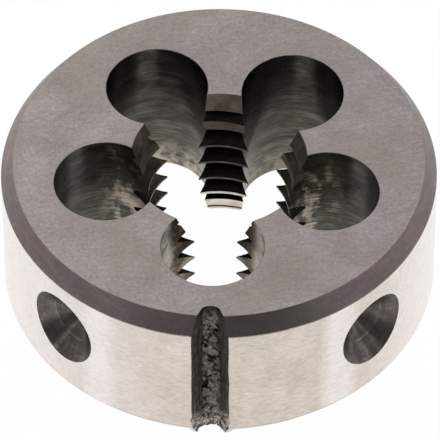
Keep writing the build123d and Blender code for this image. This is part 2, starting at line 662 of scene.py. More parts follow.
@dataclass(frozen=True)
class TurnedCone(ToolSteel):
    """A countersunk seat: fine rings round its own axis, which spread light along its slope.

    Attributes:
        contact: Colour of the ring where a screw's point has borne.
        contact_radius: Radius of that ring.
        contact_edge: How it fades to each side.
        contact_patch: The places where the screw has rubbed it.
    """

    contact: str = "#C9C4BE"
    contact_radius: float = 2.72
    contact_edge: Fade = Fade(0.0, 0.1, 0.24, 0.0)
    contact_patch: Patch = Patch(0.8, Fade(0.35, 0.6))

    def place(self, tree: Tree) -> Source:
        """Distance from the axis first, so that a layer short along it draws rings.

        Args:
            tree: The material's tree.

        Returns:
            The place, in millimetres.
        """
        axes = add_node(tree, "SeparateXYZ", {"Vector": super().place(tree)})
        across, along = axes.outputs["X"], axes.outputs["Y"]
        flat = add_node(tree, "CombineXYZ", {"X": across, "Y": along})
        radius = add_node(tree, "VectorMath", {0: flat}, operation="LENGTH")
        return add_node(tree, "CombineXYZ", {"X": radius, "Y": across, "Z": along})

    def films(self, tree: Tree, place: Source) -> list[Film]:
        """The ring that a screw's point has rubbed bright, unevenly.

        Args:
            tree: The material's tree.
            place: The place on the seat, its radius first, in millimetres.

        Returns:
            The films, from the lowest up.
        """
        axes = add_node(tree, "SeparateXYZ", {"Vector": place})
        away = self.distance(tree, axes.outputs["X"], self.contact_radius)
        near = add_node(tree, "MapRange", self.contact_edge.of(away), interpolation_type="SMOOTHSTEP")
        rubbed = self.product(tree, near, self.contact_patch.draw(tree, place))
        return [(rubbed, self.contact), *super().films(tree, place)]


# Lapping and grinding leave marks 0.01 to 0.05 mm apart, too fine to show. They are drawn 0.2 to
# 0.45 mm wide. Turned and drilled rings are drawn at a usual feed of 0.14 to 0.3 mm.
FINISHES: dict[Surface, ToolSteel] = {
    # Hardened tool steel, lapped flat: dull warm grey, clouded, with faint short scratches.
    Surface.FACE: ToolSteel(
        "lapped_tool_steel",
        tones=("#8B817F", "#A19896", "#B6AEAC"),
        layers=(
            Layer((4.5, 4.5, 4.5), 0.35, detail=3.0),
            Layer((1.5, 0.35, 1.5), 0.25, depth=0.0012, turn=-12.0),  # scratches, really about 0.03 mm wide
            Layer((0.32, 0.32, 0.32), 0.4, depth=0.001, detail=1.0),  # grit, really under 0.05 mm
        ),
        roughness=(0.36, 0.46),
        film="#958A80",
        film_size=7.0,
        film_share=0.35,
        pit_spacing=1.6,
    ),
    # Hardened tool steel, cylindrically ground: nearly white, with marks that run round it, under a brown
    # film that is partly stain and partly painted reflection.
    Surface.RIM: StainAndReflectionRim(
        "ground_tool_steel",
        tones=("#E8DEDB", "#F8F0ED", "#FFFBF9"),
        layers=(
            Layer((3.0, 3.0, 5.0), 0.2),
            Layer((1.6, 1.6, 0.3), 0.35, depth=0.001),  # the wheel's lines, really about 0.05 mm apart
            Layer((0.45, 0.45, 0.2), 0.45, depth=0.0008, detail=1.0),  # its grit, really about 0.03 mm
        ),
        roughness=(0.28, 0.38),
        pit_spacing=3.0,
        anisotropy=0.7,
    ),
    # The upper chamfer, turned: the rim's own steel in a mottled brown-grey, whose darkness is painted shade
    # for the dark side of the room that it mirrors.
    Surface.CHAMFER: PaintedShadeChamfer(
        "painted_shade_chamfer_steel",
        tones=("#76696A", "#887A79", "#9C8F8D"),
        layers=(
            Layer((2.5, 2.5, 1.2), 0.4, detail=3.0),
            Layer((2.0, 2.0, 0.25), 0.3, depth=0.002),  # turned rings at a feed of 0.25 mm
            Layer((0.3, 0.3, 0.3), 0.3, detail=1.0),
        ),
        roughness=(0.36, 0.46),
        film="#78756C",
        film_share=0.35,
        pit_spacing=2.2,
    ),
    # Corners dulled with a stone: a thin line, a little lighter than what it parts.
    Surface.EDGE: ToolSteel(
        "broken_edge_steel",
        tones=("#7C7168", "#958A80", "#B4AAA0"),
        layers=(Layer((1.2, 1.2, 1.2), 0.7), Layer((0.3, 0.3, 0.3), 0.3)),
        roughness=(0.32, 0.42),
    ),
    # The lead-in, turned and wiped clean: pale, with brown oil in patches.
    Surface.CONE: ToolSteel(
        "turned_lead_cone_steel",
        tones=("#B5A898", "#D6CBBE", "#EFE8DE"),
        layers=(Layer((1.6, 1.6, 1.0), 0.4), Layer((3.0, 3.0, 0.16), 0.6, depth=0.003)),
        roughness=(0.3, 0.4),
        film="#8B7A68",
        film_size=1.6,
        film_share=0.5,
    ),
    # Tooth tips, reamed and then blackened by hardening: dark, with a dull gleam.
    Surface.CREST: ToolSteel(
        "reamed_tooth_crest_steel",
        tones=("#3C3933", "#4F4B45", "#66625B"),
        layers=(Layer((1.5, 1.5, 1.0), 0.5), Layer((2.0, 2.0, 0.2), 0.5, depth=0.002)),
        roughness=(0.3, 0.4),
    ),
    # Tooth flanks, tapped, blackened and full of oil: almost black.
    Surface.FLANK: ToolSteel(
        "oil_black_tooth_steel",
        tones=("#1C1A14", "#2B2822", "#403C36"),
        layers=(Layer((1.2, 1.2, 1.2), 0.5, detail=3.0), Layer((2.5, 2.5, 0.25), 0.5, depth=0.002)),
        roughness=(0.3, 0.42),
    ),
    # Drilled walls, hardened: ringed, with a dark sheen, darker towards the top.
    Surface.HOLE: DrilledHole(
        "drilled_hole_steel",
        tones=("#3A3731", "#5F5B54", "#89837B"),
        layers=(
            Layer((2.5, 2.5, 1.4), 0.3, detail=3.0),
            Layer((9.0, 9.0, 0.3), 0.4, depth=0.005, detail=3.0),  # drilled rings, feed 0.3 mm
            Layer((1.2, 1.2, 0.2), 0.3, depth=0.002),
        ),
        roughness=(0.2, 0.3),
        contrast=1.3,
        anisotropy=0.5,
    ),
    # Iron oxide scale from the forge, part metal below: matt, crumbly, grey on black.
    Surface.GROOVE: ForgedScale(
        "black_forging_scale",
        tones=("#3B362F", "#7F7972", "#BDB7B0"),
        layers=(
            Layer((0.28, 0.28, 0.28), 0.6, depth=0.02),
            Layer((0.9, 0.9, 0.9), 0.4, depth=0.01),
        ),
        roughness=(0.45, 0.6),
        contrast=1.2,
        metallic=0.6,
    ),
    # Countersunk seats, hardened: dark, with a fan of light across fine rings.
    Surface.SEAT: TurnedCone(
        "turned_seat_steel",
        tones=("#46403C", "#645C58", "#8A827D"),
        layers=(
            Layer((2.0, 2.0, 2.0), 0.5, detail=4.0),
            Layer((0.45, 0.45, 0.45), 0.25, depth=0.0008),
            Layer((0.14, 9.0, 9.0), 0.25, depth=0.0007),  # countersunk rings, feed 0.14 mm
        ),
        roughness=(0.28, 0.37),
        contrast=1.2,
        anisotropy=0.85,
    ),
}


# ------------------------------------------------------------------ mesh helpers


def polar(radius: float, angle: float, height: float) -> Vector:
    """A point in millimetres, from its radius, its direction in degrees and its height."""
    return Vector((radius * math.cos(math.radians(angle)), radius * math.sin(math.radians(angle)), height))


def clamped(value: float, most: float = 1.0) -> float:
    """A number, kept from 0 to the most that it may be."""
    return min(most, max(0.0, value))


def eased(value: float) -> float:
    """A number from 0 to 1, eased at both ends."""
    return value * value * (3 - 2 * value)


@dataclass
class Shell:
    """A closed shell, its faces tagged by kind of surface.

    Attributes:
        points: Its corners, in millimetres.
        faces: The corners of each face, by number.
        surfaces: The kind of surface of each face.
    """

    points: list[Vector] = field(default_factory=list)
    faces: list[tuple[int, ...]] = field(default_factory=list)
    surfaces: list[Surface] = field(default_factory=list)

    def loft(
        self,
        rings: Sequence[Sequence[Vector]],
        surface_at: Callable[[int, int], Surface],
        looped: bool = False,
    ) -> None:
        """Joins closed rings of points, one to the next.

        Args:
            rings: Rings with the same number of points.
            surface_at: Gives the surface of the face after a ring's number and a point's number.
            looped: Joins the last ring to the first. Otherwise both ends are capped.
        """
        base, count = len(self.points), len(rings[0])
        for ring in rings:
            self.points.extend(ring)
        spans = len(rings) if looped else len(rings) - 1
        for row in range(spans):
            here, there = base + row * count, base + (row + 1) % len(rings) * count
            for column in range(count):
                after = (column + 1) % count
                self.faces.append((here + column, here + after, there + after, there + column))
                self.surfaces.append(surface_at(row, column))
        if not looped:
            last = base + spans * count
            self.faces += [tuple(range(base, base + count)), tuple(range(last + count - 1, last - 1, -1))]
            self.surfaces += [surface_at(0, 0), surface_at(spans - 1, 0)]

    def to_object(self, name: str, materials: Mapping[Surface, bpy.types.Material]) -> bpy.types.Object:
        """Makes a Blender object, in metres, with every face turned outward.

        Args:
            name: The object's name.
            materials: The material of each kind of surface.

        Returns:
            The linked object.
        """
        mesh = bpy.data.meshes.new(name)
        mesh.from_pydata([point * MM for point in self.points], [], self.faces)
        used = list(dict.fromkeys(self.surfaces))
        for surface in used:
            mesh.materials.append(materials[surface])
        mesh.polygons.foreach_set("material_index", [used.index(surface) for surface in self.surfaces])
        work = bmesh.new()
        work.from_mesh(mesh)
        bmesh.ops.recalc_face_normals(work, faces=work.faces)
        work.to_mesh(mesh)
        work.free()
        made = bpy.data.objects.new(name, mesh)
        bpy.context.scene.collection.objects.link(made)
        return made


# ------------------------------------------------------------------ the die's shapes


@dataclass(frozen=True)
class Blank:
    """The turned and ground disc, bored to the tooth tips, with a lead-in cone at each face.

    Attributes:
        diameter: The rim's diameter.
        thickness: From face to face.
        chamfer_width: The chamfers' width along the radius.
        chamfer_height: The upper chamfer's height.
        lower_chamfer_height: The lower chamfer's height.
        upset: How far the lower face's edge is pushed out on each side of the groove.
        upset_turns: Degrees from the groove's middle over which that fades.
        edge_reach: How near that edge a corner lies that is pushed out with it.
        groove_direction: Which way the groove faces, in degrees.
        face_edge_break: How far the corner between face and chamfer is dulled.
        rim_edge_break: How far the corner between chamfer and rim is dulled.
        thread_diameter: Outside diameter of the thread that the die cuts.
        pitch: Its pitch.
        half_vee: Half of the angle between its flanks, in degrees.
        tip_share: How deep the tooth tips reach into its sharp vee.
        mouth_radius: Radius of the lead-in cone at the face.
        lead_length: The cone's depth.
        segments: Steps round the disc.
    """

    diameter: float = 45.0
    thickness: float = 18.0
    chamfer_width: float = 1.26
    chamfer_height: float = 1.9
    lower_chamfer_height: float = 1.74
    upset: float = 0.42
    upset_turns: tuple[float, float] = (4.2, 6.6)
    edge_reach: float = 0.1
    groove_direction: float = -90.0
    face_edge_break: float = 0.03
    rim_edge_break: float = 0.06
    thread_diameter: float = 18.0
    pitch: float = 2.5
    half_vee: float = 30.0
    tip_share: float = 31 / 40
    mouth_radius: float = 9.15
    lead_length: float = 5.0
    segments: int = 360

    @property
    def tip_radius(self) -> float:
        """Radius of the tooth tips."""
        sharp_depth = self.pitch / 2 / math.tan(math.radians(self.half_vee))
        return self.thread_diameter / 2 - self.tip_share * sharp_depth

    def profile(self) -> list[tuple[float, float, Surface]]:
        """The section through the disc.

        Returns:
            Radius and height of each corner, with the surface that follows it.
        """
        rim, top = self.diameter / 2, self.thickness
        face = rim - self.chamfer_width
        inner, outer = self.face_edge_break, self.rim_edge_break
        halves = []
        for chamfer_height in (self.lower_chamfer_height, self.chamfer_height):
            slope = math.hypot(self.chamfer_width, chamfer_height)
            halves.append(
                [
                    (self.tip_radius, self.lead_length),
                    (self.mouth_radius, 0.0),
                    (face - inner, 0.0),
                    (face + self.chamfer_width / slope * inner, chamfer_height / slope * inner),
                    (rim - self.chamfer_width / slope * outer, chamfer_height * (1 - outer / slope)),
                    (rim, chamfer_height + outer),
                ]
            )
        corners = halves[0] + [(radius, top - height) for radius, height in reversed(halves[1])]
        # The lower chamfer takes the rim's finish, and the upper one the chamfer finish, whose darker tone is
        # painted shade.
        follows = (
            [Surface.CONE, Surface.FACE, Surface.EDGE, Surface.RIM, Surface.EDGE, Surface.RIM]
            + [Surface.EDGE, Surface.CHAMFER, Surface.EDGE, Surface.FACE, Surface.CONE, Surface.CREST]
        )
        return [(radius, height, surface) for (radius, height), surface in zip(corners, follows)]

    def shell(self) -> Shell:
        """Spins the section round the axis.

        Returns:
            The disc.
        """
        section = self.profile()
        face = self.diameter / 2 - self.chamfer_width
        rings = []
        for step in range(self.segments):
            turn = 360 * step / self.segments
            away = abs((turn - self.groove_direction + 180) % 360 - 180)
            near, far = self.upset_turns
            out = self.upset * eased(clamped((far - away) / (far - near)))
            ring = []
            for radius, height, _ in section:
                moved = abs(radius - face) < self.edge_reach and height < self.edge_reach
                ring.append(polar(radius + out if moved else radius, turn, height))
            rings.append(ring)
        shell = Shell()
        shell.loft(rings, lambda row, column: section[column][2], looped=True)
        return shell


@dataclass(frozen=True)
class ClearanceHoles:
    """Five drilled holes that break into the bore and let the chips out.

    Attributes:
        blank: The disc that they are drilled in.
        count: How many there are.
        diameter: Their diameter.
        break_in: How far they break into the bore.
        first_angle: Direction of the first one, in degrees.
        first_drift: How far the drill wandered on that one, to the right and inward.
        edge_break: How far the upper mouths are dulled.
        exit_break: How far the lower ones are: the drill tore them, so they were countersunk.
        overrun: How far the drills run out past both faces.
        segments: Steps round a hole.
    """

    blank: Blank
    count: int = 5
    diameter: float = 10.62
    break_in: float = 0.61
    first_angle: float = -91.3
    first_drift: tuple[float, float] = (0.12, 0.16)
    edge_break: float = 0.05
    exit_break: float = 0.28
    overrun: float = 1.0
    segments: int = 144

    @property
    def circle_radius(self) -> float:
        """Radius of the circle that the holes' axes stand on."""
        return self.blank.tip_radius + self.diameter / 2 - self.break_in

    @property
    def half_angle(self) -> float:
        """Half of the angle that one hole opens in the bore, in degrees."""
        tip, centre, radius = self.blank.tip_radius, self.circle_radius, self.diameter / 2
        return math.degrees(math.acos((tip**2 + centre**2 - radius**2) / (2 * tip * centre)))

    def axis(self, number: int) -> Vector:
        """Where a hole's axis meets the lower face."""
        drift = Vector((*self.first_drift, 0.0)) if number == 0 else Vector()
        return polar(self.circle_radius, self.first_angle + 360 * number / self.count, 0.0) + drift

    def shell(self) -> Shell:
        """The drills, each flared where it dulls the hole's two mouths.

        Returns:
            All of them.
        """
        shell = Shell()
        top, radius, dull = self.blank.thickness, self.diameter / 2, self.edge_break
        section = [
            (radius + self.exit_break + self.overrun, -self.overrun),
            (radius + self.exit_break, 0.0),
            (radius, self.exit_break),
            (radius, top - dull),
            (radius + dull, top),
            (radius + dull + self.overrun, top + self.overrun),
        ]
        for number in range(self.count):
            rings = [
                [
                    self.axis(number) + polar(ring_radius, 360 * turn / self.segments, height)
                    for turn in range(self.segments)
                ]
                for ring_radius, height in section
            ]
            shell.loft(rings, lambda row, column: Surface.HOLE if row == 2 else Surface.EDGE)
        return shell


@dataclass(frozen=True)
class ToothSpaces:
    """The vees between the cutting teeth, cut land by land on one right-handed helix.

    Attributes:
        blank: The disc that they are cut in.
        holes: The holes that part the lands.
        root_share: Half the width of the vee's flat bottom, in parts of the pitch.
        overrun: How far inside the tooth tips the cutter reaches.
        land_overrun: Degrees by which it runs past each side of a land.
        steps: Steps along one land.
    """

    blank: Blank
    holes: ClearanceHoles
    root_share: float = 1 / 16
    overrun: float = 0.5
    land_overrun: float = 6.0
    steps: int = 20

    def vee(self) -> list[tuple[float, float]]:
        """The vee's section, about its own centre.

        Returns:
            Radius and height of each corner.
        """
        outer = self.blank.thread_diameter / 2
        inner = self.blank.tip_radius - self.overrun
        root = self.blank.pitch * self.root_share
        open_half = root + (outer - inner) * math.tan(math.radians(self.blank.half_vee))
        return [(inner, -open_half), (outer, -root), (outer, root), (inner, open_half)]

    def shell(self) -> Shell:
        """Every space on every land, from below the lower face to above the upper.

        Returns:
            The cutters.
        """
        shell, pitch, top = Shell(), self.blank.pitch, self.blank.thickness
        land = 360 / self.holes.count - 2 * self.holes.half_angle
        sweep = land + 2 * self.land_overrun
        for number in range(self.holes.count):
            start = self.holes.first_angle + (number + 0.5) * 360 / self.holes.count - sweep / 2
            height = pitch * start / 360
            for turn in range(math.floor(-1 - height / pitch), math.ceil((top - height) / pitch + 1)):
                rings = [
                    [
                        polar(
                            radius,
                            start + sweep * step / self.steps,
                            height + pitch * (turn + sweep * step / self.steps / 360) + rise,
                        )
                        for radius, rise in self.vee()
                    ]
                    for step in range(self.steps + 1)
                ]
                shell.loft(rings, lambda row, column: Surface.FLANK)
        return shell


@dataclass(frozen=True)
class RimGroove:
    """The groove for the centre screw: forged, not cut, so it is lumpy and cracked.

    Attributes:
        blank: The disc that it runs down.
        width: Its width at the rim.
        depth: Its depth there.
        angle: The angle between its flanks, in degrees.
        lump_sizes: Widths of the large and the small lumps.
        lump_heights: How far they stand out.
        lump_reach: How far from the deepest line they begin, and over how far they come in.
        warp_size: Width of the waves that pull lumps and cracks out of true.
        warp_share: How far those pull.
        crack_spacing: Distance between cracks.
        crack_depth: How deep they are.
        crack_width: How wide they are, in parts of their spacing.
        broken_size: Length of the stretches that a crack comes and goes in.
        broken_start: Where in the noise those begin.
        broken_gain: How sharply they end.
        broken_level: How much of a crack is open.
        streak_size: Size of the streaks, across and along the flanks.
        streak_height: How far they stand out.
        smooth_top: How far below the upper face the surface is still clean.
        smooth_fade: Over how far it roughens below that.
        lip_height: How far up the lip of scale at the lower face reaches.
        lip_depth: How far it stands into the groove.
        foot_height: Height below which the flanks are lumpy too.
        foot_share: How lumpy they are there.
        chip_height: How far down the chipped upper end goes.
        chip_depth: How deep the chip is.
        overrun: How far the tool runs out past both faces.
        back: How far it stands out of the rim.
        grain: Distance between the points that carry the roughness.
    """

    blank: Blank
    width: float = 3.9
    depth: float = 2.46
    angle: float = 50.0
    lump_sizes: tuple[float, float] = (1.0, 0.36)
    lump_heights: tuple[float, float] = (0.12, 0.07)
    lump_reach: tuple[float, float] = (0.55, 0.35)
    warp_size: float = 0.5
    warp_share: float = 0.3
    crack_spacing: float = 1.05
    crack_depth: float = 0.26
    crack_width: float = 0.2
    broken_size: float = 1.1
    broken_start: tuple[float, float, float] = (7.0, 3.0, 5.0)
    broken_gain: float = 2.2
    broken_level: float = 0.55
    streak_size: tuple[float, float] = (0.28, 3.0)
    streak_height: float = 0.07
    smooth_top: float = 0.3
    smooth_fade: float = 0.4
    lip_height: float = 1.5
    lip_depth: float = 0.52
    foot_height: float = 3.6
    foot_share: float = 0.75
    chip_height: float = 1.1
    chip_depth: float = 0.17
    overrun: float = 1.0
    back: float = 2.0
    grain: float = 0.08

    @property
    def frame(self) -> Matrix:
        """The groove's frame: x across, y inward from the rim, z up."""
        turn = Matrix.Rotation(math.radians(self.blank.groove_direction + 90), 4, "Z")
        return turn @ Matrix.Translation((0.0, -self.blank.diameter / 2, 0.0))

    @property
    def nose(self) -> tuple[float, float]:
        """The round bottom.

        Returns:
            Its radius, and how deep below the rim its centre lies.
        """
        half = math.radians(self.angle / 2)
        radius = (self.width / 2 * math.cos(half) - self.depth * math.sin(half)) / (1 - math.sin(half))
        return radius, self.depth - radius

    def wall(self) -> list[tuple[Vector, Vector]]:
        """The smooth section, from one mouth round the bottom to the other.

        Returns:
            Points across and inward, each with the direction out of the steel.
        """
        half = math.radians(self.angle / 2)
        radius, centre = self.nose
        flank_end = Vector((radius * math.cos(half), centre + radius * math.sin(half)))
        inward = Vector((-math.sin(half), math.cos(half)))
        length = (flank_end.y + self.overrun) / inward.y
        steps = round(length / self.grain)
        right = [flank_end - inward * (length * (1 - i / steps)) for i in range(steps)]
        normal = Vector((-math.cos(half), -math.sin(half)))
        arc_steps = round(radius * (math.pi - 2 * half) / self.grain)
        arc = []
        for i in range(arc_steps + 1):
            turn = half + (math.pi - 2 * half) * i / arc_steps
            out = Vector((math.cos(turn), math.sin(turn)))
            arc.append((Vector((0.0, centre)) + out * radius, -out))
        left = [(Vector((-point.x, point.y)), Vector((-normal.x, normal.y))) for point in reversed(right)]
        return [(point, normal) for point in right] + arc + left

    def relief(self, point: Vector, height: float) -> float:
        """How far the forged surface stands out of the smooth one, below 0 in a crack.

        Args:
            point: Place on the smooth section, across and inward.
            height: Height above the lower face.

        Returns:
            The distance, in millimetres.
        """
        below = self.blank.thickness - height
        clean = 1 - clamped((below - self.smooth_top) / self.smooth_fade)
        lump_from, lump_fade = self.lump_reach
        bottom = clamped((point.y - self.depth + lump_from) / lump_fade)
        bottom = max(bottom, clamped(self.foot_height - height, self.foot_share))
        place = Vector((point.x, height, point.y))
        warp = noise.noise_vector(place / self.warp_size) * self.warp_share
        near, second = noise.voronoi((place + warp) / self.crack_spacing)[0][:2]
        crack = max(0.0, 1 - (second - near) / self.crack_width)
        stretch = noise.noise(place / self.broken_size + Vector(self.broken_start))
        broken = clamped(stretch * self.broken_gain + self.broken_level)
        lumps = sum(
            lump_height * noise.noise((place + warp) / lump_size)
            for lump_size, lump_height in zip(self.lump_sizes, self.lump_heights)
        )
        across, along = self.streak_size
        streak = noise.noise(Vector((point.x / across, height / along, point.y / across)))
        lip = self.lip_depth * eased(clamped(1 - height / self.lip_height))
        lip *= clamped(point.y / self.depth) ** 2
        chip = self.chip_depth * max(0.0, 1 - below / self.chip_height) * bottom
        forged = lumps - self.crack_depth * crack * broken
        rough = bottom * forged + (1 - bottom) * self.streak_height * streak
        return (1 - clean) * rough + lip - chip

    def shell(self) -> Shell:
        """The forging tool, with the roughness that it leaves, run out past both faces.

        Returns:
            The tool.
        """
        wall = self.wall()
        rows = round((self.blank.thickness + 2 * self.overrun) / self.grain)
        rings = []
        for row in range(rows + 1):
            height = -self.overrun + (self.blank.thickness + 2 * self.overrun) * row / rows
            section = [point + out * self.relief(point, height) for point, out in wall]
            section += [Vector((section[-1].x, -self.back)), Vector((section[0].x, -self.back))]
            rings.append([self.frame @ Vector((point.x, point.y, height)) for point in section])
        shell = Shell()
        shell.loft(rings, lambda row, column: Surface.GROOVE)
        return shell

    def own_place(self, point: Vector) -> Vector:
        """Across the groove, how far the surface stands out, and height, for a point."""
        local = self.frame.inverted() @ point
        return Vector((local.x, self.relief(Vector((local.x, local.y)), local.z), local.z))


@dataclass(frozen=True)
class ClampSeats:
    """Conical seats, sunk in the rim for the points of the stock's clamping screws.

    Attributes:
        blank: The disc that they are sunk in.
        diameter: Their width at the rim, and twice their depth.
        drop: How far below the upper face their axes lie.
        directions: Which way they face, in degrees.
        tip_flat: Radius of the countersink's blunt tip.
        overrun: How far it stands out of the rim.
        segments: Steps round a seat.
        rings: Steps along it.
    """

    blank: Blank
    diameter: float = 8.88
    drop: float = 8.31
    directions: tuple[float, ...] = (-133.56, -43.04, 46.44, 136.96)
    tip_flat: float = 0.05
    overrun: float = 1.0
    segments: int = 144
    rings: int = 12

    def frame(self, number: int) -> Matrix:
        """The frame of a seat: the cone's tip at the origin, and its axis along z, outward.

        Args:
            number: The seat's number.

        Returns:
            The frame.
        """
        direction, height = self.directions[number], self.blank.thickness - self.drop
        tip = polar((self.blank.diameter - self.diameter) / 2, direction, height)
        outward = polar(1.0, direction, 0.0)
        return Matrix.Translation(tip) @ outward.to_track_quat("Z", "Y").to_matrix().to_4x4()

    def nearest(self, point: Vector) -> Matrix:
        """The frame of the seat nearest to a point."""
        frames = [self.frame(number) for number in range(len(self.directions))]
        return min(frames, key=lambda frame: (frame.translation - point).length)

    def shell(self) -> Shell:
        """The countersinks, one for each seat.

        Returns:
            All of them.
        """
        shell = Shell()
        length = self.diameter / 2 + self.overrun
        for number in range(len(self.directions)):
            place = self.frame(number)
            rings = []
            for ring in range(self.rings + 1):
                reach = self.tip_flat + (length - self.tip_flat) * ring / self.rings
                turns = (360 * i / self.segments for i in range(self.segments))
                rings.append([place @ polar(reach, turn, reach) for turn in turns])
            shell.loft(rings, lambda row, column: Surface.SEAT)
        return shell


@dataclass(frozen=True)
class ThreadingDie:
    """The whole die: the blank with everything cut out of it, shaded and dressed.

    Attributes:
        blank: The disc that it is cut from.
        sharp_angle: Turn between two faces from which their edge is sharp, in degrees.
        scale_sharp_angle: The same on the rough scale.
    """

    blank: Blank = Blank()
    sharp_angle: float = 28.0
    scale_sharp_angle: float = 70.0

    def build(self) -> bpy.types.Object:
        """Cuts the die and dresses it.

        Returns:
            The die, standing for its CAD node.
        """
        materials = {surface: finish.material() for surface, finish in FINISHES.items()}
        holes = ClearanceHoles(self.blank)
        groove, seats = RimGroove(self.blank), ClampSeats(self.blank)
        die = self.blank.shell().to_object("threading_die", materials)
        cutters = {
            "hole_drills": holes.shell(),
            "space_cutters": ToothSpaces(self.blank, holes).shell(),
            "groove_tool": groove.shell(),
            "seat_sinks": seats.shell(),
        }
        self.cut(die, [shell.to_object(name, materials) for name, shell in cutters.items()])
        kinds = {material.name: surface for surface, material in materials.items()}
        surfaces = [kinds[material.name] for material in die.data.materials]
        self.shade(die, surfaces)
        self.mark(die, surfaces, groove, seats)
        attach(die, "root")
        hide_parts("die_body")
        report(die)
        return die

    def cut(self, die: bpy.types.Object, cutters: Sequence[bpy.types.Object]) -> None:
        """Takes the cutters out of the die, and leaves each one's finish on what it cut.

        Args:
            die: The blank.
            cutters: Closed objects, removed when done.
        """
        for cutter in cutters:
            modifier = die.modifiers.new(cutter.name, "BOOLEAN")
            modifier.operation, modifier.object = "DIFFERENCE", cutter
            modifier.solver, modifier.material_mode = "MANIFOLD", "TRANSFER"
        solid = die.evaluated_get(bpy.context.evaluated_depsgraph_get())
        cut_mesh = bpy.data.meshes.new_from_object(solid)
        die.modifiers.clear()
        blank_mesh, die.data = die.data, cut_mesh
        bpy.data.meshes.remove(blank_mesh)
        cut_mesh.name = die.name
        for cutter in cutters:
            bpy.data.meshes.remove(cutter.data)

    def shade(self, die: bpy.types.Object, surfaces: Sequence[Surface]) -> None:
        """Smooths each surface by itself and keeps the corners between surfaces sharp.

        Args:
            die: The cut die.
            surfaces: The kind of surface in each material slot.
        """
        work = bmesh.new()
        work.from_mesh(die.data)
        for face in work.faces:
            face.smooth = True
        for edge in work.edges:
            kinds = {surfaces[face.material_index] for face in edge.link_faces}
            limit = self.scale_sharp_angle if kinds == {Surface.GROOVE} else self.sharp_angle
            turn = math.degrees(edge.calc_face_angle(0.0))
            edge.smooth = len(kinds) == 1 and turn < limit
        work.to_mesh(die.data)
        work.free()

    def mark(
        self,
        die: bpy.types.Object,
        surfaces: Sequence[Surface],
        groove: RimGroove,
        seats: ClampSeats,
    ) -> None:
        """Writes at every corner its place in the frame of its tool, and that tool's axis.

        Args:
            die: The cut die.
            surfaces: The kind of surface in each material slot.
            groove: The rim groove.
            seats: The clamping seats.
        """
        mesh = die.data
        place = mesh.attributes.new(TOOL_PLACE, "FLOAT_VECTOR", "CORNER")
        axis = mesh.attributes.new(TOOL_AXIS, "FLOAT_VECTOR", "CORNER")
        kinds = [surfaces[face.material_index] for face in mesh.polygons]
        rough = (face for face, kind in zip(mesh.polygons, kinds) if kind is Surface.GROOVE)
        touched = {vertex for face in rough for vertex in face.vertices}
        forged = {vertex: groove.own_place(mesh.vertices[vertex].co / MM) for vertex in touched}
        upright = Matrix.Identity(4)
        for face, kind in zip(mesh.polygons, kinds):
            tool = seats.nearest(face.center / MM) if kind is Surface.SEAT else upright
            inverse, along = tool.inverted(), tool.col[2].to_3d()
            for corner, vertex in zip(face.loop_indices, face.vertices):
                axis.data[corner].vector = along
                own = inverse @ (mesh.vertices[vertex].co / MM)
                place.data[corner].vector = forged[vertex] if kind is Surface.GROOVE else own


# ------------------------------------------------------------------ studio


@dataclass(frozen=True)
class Viewpoint:
    """A long lens that looks down on the die from in front of its groove.

    Attributes:
        elevation: How far it looks down, in degrees.
        azimuth: How far it stands to the right of the groove, in degrees.
        roll: How far it leans, in degrees.
        distance: How far away it stands, in millimetres.
        aside: How far it is moved to the right, in millimetres.
        rise: How far it is moved up, in millimetres.
        lens: Focal length, in millimetres.
        aim_height: Height of the point that the distance is measured from, in millimetres.
        clip: The nearest and the furthest that it sees, in metres.
    """

    elevation: float = 48.7193
    azimuth: float = 2.54
    roll: float = -0.2718
    distance: float = 616.59
    aside: float = 0.119
    rise: float = -6.264
    lens: float = 489.84
    aim_height: float = 18.0
    clip: tuple[float, float] = (0.05, 20.0)

    def build(self) -> bpy.types.Object:
        """Places the camera.

        Returns:
            The scene's camera.
        """
        turn, lift, lean = (math.radians(angle) for angle in (self.azimuth, self.elevation, self.roll))
        back = Vector((math.sin(turn) * math.cos(lift), -math.cos(turn) * math.cos(lift), math.sin(lift)))
        level = Vector((math.cos(turn), math.sin(turn), 0.0))
        upward = back.cross(level)
        right = level * math.cos(lean) + upward * math.sin(lean)
        up = upward * math.cos(lean) - level * math.sin(lean)
        aim = Vector((0.0, 0.0, self.aim_height))
        place = aim + back * self.distance + right * self.aside + up * self.rise
        data = bpy.data.cameras.new("camera")
        data.lens = self.lens
        data.clip_start, data.clip_end = self.clip
        camera = bpy.data.objects.new("camera", data)
        bpy.context.scene.collection.objects.link(camera)
        axes = Matrix((right, up, back)).transposed().to_4x4()
        camera.matrix_world = Matrix.Translation(place * MM) @ axes
        bpy.context.scene.camera = camera
        return camera


@dataclass(frozen=True)
class SoftBox:
    """A square soft box that faces the die.

    Attributes:
        name: Its name.
        place: Where it hangs, in metres.
        size: Its side, in metres.
        power: Its power, in watts.
    """

    name: str
    place: tuple[float, float, float]
    size: float
    power: float

    def hang(self) -> bpy.types.Object:
        """Hangs it.

        Returns:
            The lamp.
        """
        data = bpy.data.lights.new(self.name, "AREA")
        data.size, data.energy = self.size, self.power
        lamp = bpy.data.objects.new(self.name, data)
        lamp.location = self.place
        lamp.rotation_euler = Vector(self.place).to_track_quat("Z", "Y").to_euler()
        bpy.context.scene.collection.objects.link(lamp)
        return lamp


